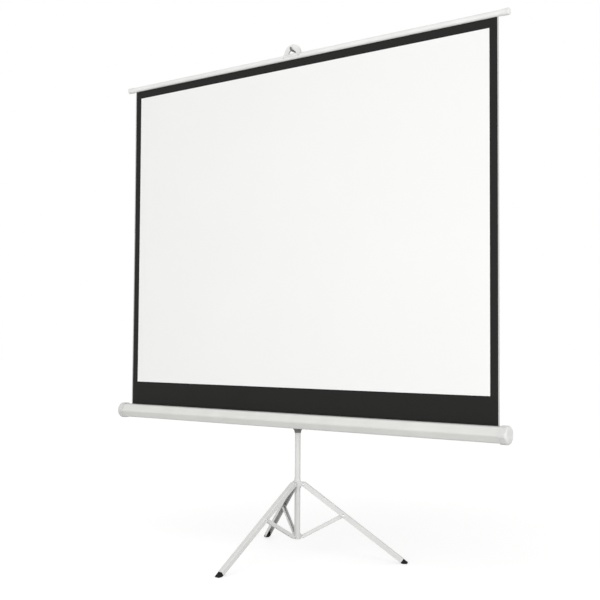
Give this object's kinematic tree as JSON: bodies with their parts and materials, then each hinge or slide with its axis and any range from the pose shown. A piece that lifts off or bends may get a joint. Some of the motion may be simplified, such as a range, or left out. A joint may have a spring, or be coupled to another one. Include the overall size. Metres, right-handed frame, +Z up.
{
  "type": "tripod projection screen",
  "caption": "Portable projection screen: a spring-rolled white cloth with black borders rises from a six-sided case to a batten hooked on a telescopic mast over a folding tripod.",
  "frame": {"origin": "on the floor under the middle of the object's outline; the mast's axis stands 89.8 mm behind it", "axes": "+Z up along the mast; -Y is the front, the side the picture is seen from; +X is the viewer's right"},
  "size_m": [1.8646, 0.6983, 2.0456],
  "materials": {
    "mast_paint": "smooth light grey enamel",
    "leg_paint": "smooth light grey enamel",
    "case_paint": "satin warm grey enamel",
    "batten_paint": "satin off-white enamel",
    "grey_plastic": "moulded light grey plastic, fine grain",
    "white_plastic": "moulded white plastic",
    "dark_plastic": "moulded dark grey plastic, fine grain",
    "black_plastic": "moulded black plastic, fine grain",
    "black_rubber": "matt black rubber",
    "steel": "plain zinc-plated steel",
    "screen_cloth": "matt white coated cloth with black printed borders",
    "black_cloth": "matt black coated cloth"
  },
  "bodies": {
    "stand": {"mast_tube": "mast_paint", "mast_plug": "grey_plastic", "base_collar": "grey_plastic", "collar_pins": "steel", "mast_bush": "grey_plastic", "mast_lock_collar": "grey_plastic", "screen_sheet": "screen_cloth", "drop_band": "black_cloth"},
    "hub": {"tripod_hub": "grey_plastic", "hub_pins": "steel"},
    "upper_mast": {"upper_mast_tube": "mast_paint", "upper_mast_bush": "grey_plastic", "mast_hook": "dark_plastic", "hem_rod": "steel", "batten_tube": "batten_paint", "batten_caps": "white_plastic", "pull_handle": "white_plastic", "handle_screws": "steel"},
    "slider": {"slider": "dark_plastic", "pivot_bolt": "steel", "carry_handle": "black_plastic", "carry_handle_screws": "steel"},
    "case": {"case_tube": "case_paint", "case_cap_left": "grey_plastic", "case_cap_right": "grey_plastic", "cap_screws": "steel", "case_bracket": "case_paint", "bracket_rivets": "steel", "spring_rod": "steel", "roller_spring": "steel", "idle_bearing": "grey_plastic", "rod_socket": "grey_plastic"},
    "roller": {"roller_tube": "steel", "roller_idle_plug": "grey_plastic", "roller_spring_plug": "grey_plastic", "cloth_wraps": "black_cloth", "spring_anchor": "grey_plastic"},
    "mast_knob": {"mast_lock_knob": "black_plastic"},
    "slider_knob": {"slider_knob": "black_plastic"},
    "leg_front": {"leg_front": "leg_paint", "foot_front": "black_rubber", "strut_pin_front": "steel"},
    "strut_front": {"strut_front": "leg_paint", "strut_rivet_front": "steel"},
    "leg_right": {"leg_right": "leg_paint", "foot_right": "black_rubber", "strut_pin_right": "steel"},
    "strut_right": {"strut_right": "leg_paint", "strut_rivet_right": "steel"},
    "leg_left": {"leg_left": "leg_paint", "foot_left": "black_rubber", "strut_pin_left": "steel"},
    "strut_left": {"strut_left": "leg_paint", "strut_rivet_left": "steel"}
  },
  "joints": [
    {"name": "tripod_fold", "type": "slide", "parent": "stand", "child": "hub", "axis": [0, 0, 1], "range_m": [0, 0.178]},
    {"name": "leg_front_fold", "type": "hinge", "parent": "hub", "child": "leg_front", "pos_m": [-0.0023, 0.06589, 0.29158], "axis": [0.9954, -0.0958, 0], "range_deg": [-0.2, 54.45]},
    {"name": "strut_front_fold", "type": "hinge", "parent": "leg_front", "child": "strut_front", "pos_m": [-0.01778, -0.09486, 0.1753], "axis": [0.9954, -0.0958, 0], "range_deg": [-115.63, 0.3]},
    {"name": "leg_right_fold", "type": "hinge", "parent": "hub", "child": "leg_right", "pos_m": [0.02184, 0.09974, 0.29158], "axis": [-0.4147, 0.91, 0], "range_deg": [-0.2, 54.45]},
    {"name": "strut_right_fold", "type": "hinge", "parent": "leg_right", "child": "strut_right", "pos_m": [0.16879, 0.1667, 0.1753], "axis": [-0.4147, 0.91, 0], "range_deg": [-115.63, 0.3]},
    {"name": "leg_left_fold", "type": "hinge", "parent": "hub", "child": "leg_left", "pos_m": [-0.01954, 0.10372, 0.29158], "axis": [-0.5807, -0.8141, 0], "range_deg": [-0.2, 54.45]},
    {"name": "strut_left_fold", "type": "hinge", "parent": "leg_left", "child": "strut_left", "pos_m": [-0.15101, 0.1975, 0.1753], "axis": [-0.5807, -0.8141, 0], "range_deg": [-115.63, 0.3]},
    {"name": "mast_extend", "type": "slide", "parent": "stand", "child": "upper_mast", "axis": [0, 0, 1], "range_m": [-0.8, 0], "deforming": ["screen_sheet"]},
    {"name": "slider_slide", "type": "slide", "parent": "stand", "child": "slider", "axis": [0, 0, 1], "range_m": [0, 0.085], "deforming": ["drop_band"]},
    {"name": "case_level", "type": "hinge", "parent": "slider", "child": "case", "pos_m": [0, 0.02473, 0.54508], "axis": [0, 1, 0], "range_deg": [-1.5, 1.5], "deforming": ["drop_band"]},
    {"name": "roller_spin", "type": "hinge", "parent": "case", "child": "roller", "pos_m": [0, 0.02473, 0.54508], "axis": [1, 0, 0], "range_deg": [-3343.6, 10]},
    {"name": "mast_knob_turn", "type": "hinge", "parent": "stand", "child": "mast_knob", "pos_m": [0, 0.11978, 1.16408], "axis": [0, 1, 0], "range_deg": [-360, 0]},
    {"name": "slider_knob_turn", "type": "hinge", "parent": "slider", "child": "slider_knob", "pos_m": [0.03, 0.08978, 0.59308], "axis": [1, 0, 0], "range_deg": [-360, 0]}
  ],
  "couplings": [
    {"joint": "leg_front_fold", "follows": "tripod_fold", "rad_per_m": 5.3188},
    {"joint": "strut_front_fold", "follows": "tripod_fold", "rad_per_m": -11.308},
    {"joint": "leg_right_fold", "follows": "tripod_fold", "rad_per_m": 5.3188},
    {"joint": "strut_right_fold", "follows": "tripod_fold", "rad_per_m": -11.308},
    {"joint": "leg_left_fold", "follows": "tripod_fold", "rad_per_m": 5.3188},
    {"joint": "strut_left_fold", "follows": "tripod_fold", "rad_per_m": -11.308},
    {"joint": "roller_spin", "follows": "mast_extend", "rad_per_m": 72.727}
  ]
}
